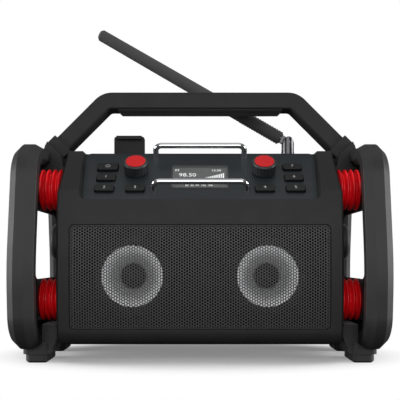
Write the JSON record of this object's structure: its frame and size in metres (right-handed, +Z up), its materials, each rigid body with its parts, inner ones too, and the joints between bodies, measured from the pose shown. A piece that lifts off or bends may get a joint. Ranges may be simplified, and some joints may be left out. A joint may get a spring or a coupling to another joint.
{
  "type": "jobsite radio",
  "caption": "Portable radio hung on ribbed rubber dampers between two side rings, with a fixed arched handle, sloping control panel, wide grille and a hinged whip antenna.",
  "frame": {"origin": "on the ground, below the middle of the radio's overall box", "axes": "+Z up, the front and grille face -Y, +X to the right of someone facing the radio"},
  "size_m": [0.372, 0.1974, 0.3685],
  "materials": {
    "antenna_rubber": "matte",
    "black_rubber": "matte",
    "cabinet_plastic": "fine textured moulding",
    "cell_jacket": "printed sleeve",
    "chrome_bar": "polished",
    "circuit_board": "solder resist",
    "dark_steel": "blackened",
    "display": "backlit",
    "ferrite": "sintered",
    "grille_steel": "powder coat",
    "handle_plastic": "fine textured moulding",
    "key_plastic": "satin",
    "panel_plastic": "satin, slightly blue",
    "paper_cone": "pressed fibre",
    "pressed_steel": "pressed sheet",
    "red_plastic": "satin",
    "red_rubber": "smooth moulding",
    "ring_plastic": "fine textured moulding",
    "screw_steel": "plated",
    "window": "clear"
  },
  "bodies": {
    "radio": {"antenna_socket": "cabinet_plastic", "battery_cells": "cell_jacket", "bump_stops": "black_rubber", "control_board": "circuit_board", "control_panel": "panel_plastic", "damper_bolts": "screw_steel", "display_module": "display", "display_window": "window", "feet": "black_rubber", "front_shell": "cabinet_plastic", "handle_frame": "handle_plastic", "handle_grip": "black_rubber", "left_carrier": "cabinet_plastic", "left_handle_bracket": "handle_plastic", "left_lower_dampers": "red_rubber", "left_ring": "ring_plastic", "left_speaker_cone": "paper_cone", "left_speaker_frame": "pressed_steel", "left_speaker_magnet": "ferrite", "left_upper_dampers": "red_rubber", "lower_guard_bar": "chrome_bar", "main_board": "circuit_board", "rear_shell": "cabinet_plastic", "rear_sockets": "cabinet_plastic", "right_carrier": "cabinet_plastic", "right_handle_bracket": "handle_plastic", "right_lower_dampers": "red_rubber", "right_ring": "ring_plastic", "right_speaker_cone": "paper_cone", "right_speaker_frame": "pressed_steel", "right_speaker_magnet": "ferrite", "right_upper_dampers": "red_rubber", "shell_screws": "screw_steel", "speaker_baffle": "cabinet_plastic", "speaker_grille": "grille_steel", "upper_guard_bar": "chrome_bar"},
    "power_button": {"power_button": "key_plastic"},
    "left_middle_button": {"left_middle_button": "key_plastic"},
    "left_lower_button": {"left_lower_button": "key_plastic"},
    "left_inner_button": {"left_inner_button": "key_plastic"},
    "right_inner_button": {"right_inner_button": "key_plastic"},
    "right_lower_button": {"right_lower_button": "key_plastic"},
    "right_middle_button": {"right_middle_button": "key_plastic"},
    "right_upper_button": {"right_upper_button": "key_plastic"},
    "left_push": {"left_knob_collar": "cabinet_plastic"},
    "left_turn": {"left_knob": "key_plastic", "left_knob_cap": "red_plastic", "left_knob_shaft": "screw_steel"},
    "right_push": {"right_knob_collar": "cabinet_plastic"},
    "right_turn": {"right_knob": "key_plastic", "right_knob_cap": "red_plastic", "right_knob_shaft": "screw_steel"},
    "antenna_post": {"antenna_swivel": "dark_steel", "antenna_pin": "dark_steel"},
    "antenna": {"antenna_neck": "dark_steel", "antenna_whip": "antenna_rubber"},
    "phone_clamp": {"phone_clamp": "cabinet_plastic"},
    "battery_door": {"battery_door": "cabinet_plastic"},
    "battery_latch": {"battery_latch": "cabinet_plastic"},
    "socket_flap": {"socket_flap": "black_rubber"}
  },
  "joints": [
    {"name": "power_button_press", "type": "slide", "parent": "radio", "child": "power_button", "axis": [0, 0.6884, -0.7254], "range_m": [0, 0.001], "stiffness_N_per_m": 600, "springref_m": -0.001},
    {"name": "left_middle_button_press", "type": "slide", "parent": "radio", "child": "left_middle_button", "axis": [0, 0.6884, -0.7254], "range_m": [0, 0.001], "stiffness_N_per_m": 600, "springref_m": -0.001},
    {"name": "left_lower_button_press", "type": "slide", "parent": "radio", "child": "left_lower_button", "axis": [0, 0.6884, -0.7254], "range_m": [0, 0.001], "stiffness_N_per_m": 600, "springref_m": -0.001},
    {"name": "left_inner_button_press", "type": "slide", "parent": "radio", "child": "left_inner_button", "axis": [0, 0.6884, -0.7254], "range_m": [0, 0.001], "stiffness_N_per_m": 600, "springref_m": -0.001},
    {"name": "right_inner_button_press", "type": "slide", "parent": "radio", "child": "right_inner_button", "axis": [0, 0.6884, -0.7254], "range_m": [0, 0.001], "stiffness_N_per_m": 600, "springref_m": -0.001},
    {"name": "right_lower_button_press", "type": "slide", "parent": "radio", "child": "right_lower_button", "axis": [0, 0.6884, -0.7254], "range_m": [0, 0.001], "stiffness_N_per_m": 600, "springref_m": -0.001},
    {"name": "right_middle_button_press", "type": "slide", "parent": "radio", "child": "right_middle_button", "axis": [0, 0.6884, -0.7254], "range_m": [0, 0.001], "stiffness_N_per_m": 600, "springref_m": -0.001},
    {"name": "right_upper_button_press", "type": "slide", "parent": "radio", "child": "right_upper_button", "axis": [0, 0.6884, -0.7254], "range_m": [0, 0.001], "stiffness_N_per_m": 600, "springref_m": -0.001},
    {"name": "left_knob_press", "type": "slide", "parent": "radio", "child": "left_push", "axis": [0, 0.6884, -0.7254], "range_m": [0, 0.0008], "stiffness_N_per_m": 1500, "springref_m": -0.001},
    {"name": "left_knob_turn", "type": "hinge", "parent": "left_push", "child": "left_turn", "pos_m": [-0.0662, -0.0397, 0.19559], "axis": [0, -0.6884, 0.7254], "continuous": true},
    {"name": "right_knob_press", "type": "slide", "parent": "radio", "child": "right_push", "axis": [0, 0.6884, -0.7254], "range_m": [0, 0.0008], "stiffness_N_per_m": 1500, "springref_m": -0.001},
    {"name": "right_knob_turn", "type": "hinge", "parent": "right_push", "child": "right_turn", "pos_m": [0.0662, -0.0397, 0.19559], "axis": [0, -0.6884, 0.7254], "continuous": true},
    {"name": "antenna_turn", "type": "hinge", "parent": "radio", "child": "antenna_post", "pos_m": [0.1012, 0.031, 0.219], "axis": [0, 0, 1], "range_deg": [-180, 0]},
    {"name": "antenna_tilt", "type": "hinge", "parent": "antenna_post", "child": "antenna", "pos_m": [0.1012, 0.031, 0.239], "axis": [0, 1, 0], "range_deg": [-25, 60]},
    {"name": "phone_clamp_lift", "type": "slide", "parent": "radio", "child": "phone_clamp", "axis": [0, 0, 1], "range_m": [0, 0.014], "stiffness_N_per_m": 150, "springref_m": -0.002},
    {"name": "battery_door_hinge", "type": "hinge", "parent": "radio", "child": "battery_door", "pos_m": [0, 0.0788, 0.0452], "axis": [-1, 0, 0], "range_deg": [0, 90]},
    {"name": "battery_latch_slide", "type": "slide", "parent": "battery_door", "child": "battery_latch", "axis": [0, 0, 1], "range_m": [0, 0.003]},
    {"name": "socket_flap_hinge", "type": "hinge", "parent": "radio", "child": "socket_flap", "pos_m": [0.112, 0.0825, 0.05], "axis": [-1, 0, 0], "range_deg": [0, 100]}
  ]
}
